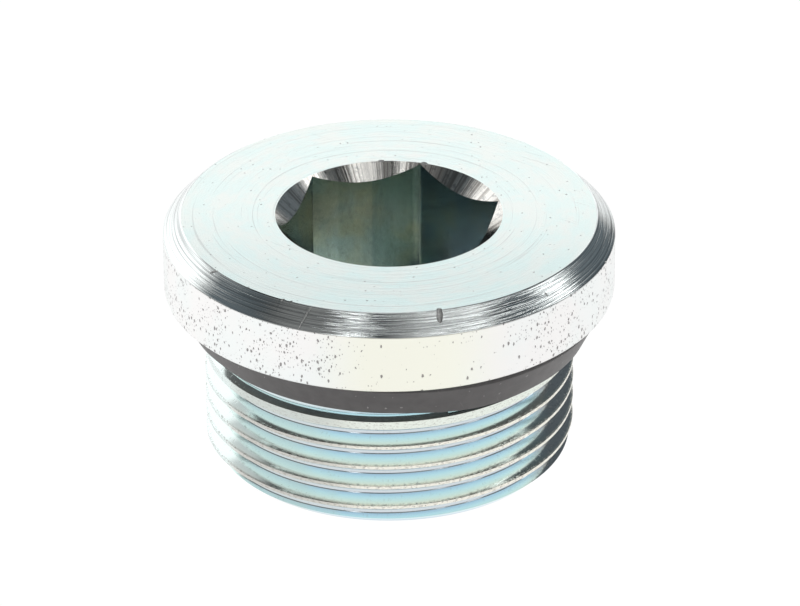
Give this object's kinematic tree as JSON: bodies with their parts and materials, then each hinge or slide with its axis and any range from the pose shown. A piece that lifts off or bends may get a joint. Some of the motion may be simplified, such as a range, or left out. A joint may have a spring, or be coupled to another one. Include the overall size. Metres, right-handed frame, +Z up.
{
  "type": "hex socket screw plug",
  "caption": "Flanged hexagon-socket screw plug with an external metric thread and a captive elastomer seal ring under its flange.",
  "frame": {"origin": "centre of the threaded end face, which the plug stands on", "axes": "+Z up the plug's axis, out of the hexagon socket; -Y is the front; the socket's flats are turned 13.7 degrees about +Z from the front"},
  "size_m": [0.04, 0.04, 0.0225],
  "materials": {
    "plated_steel": "turned carbon steel with a thin bright zinc plate",
    "black_elastomer": "satin moulded elastomer"
  },
  "bodies": {
    "root": {"plug_body": "plated_steel", "seal_ring": "black_elastomer"}
  },
  "joints": []
}
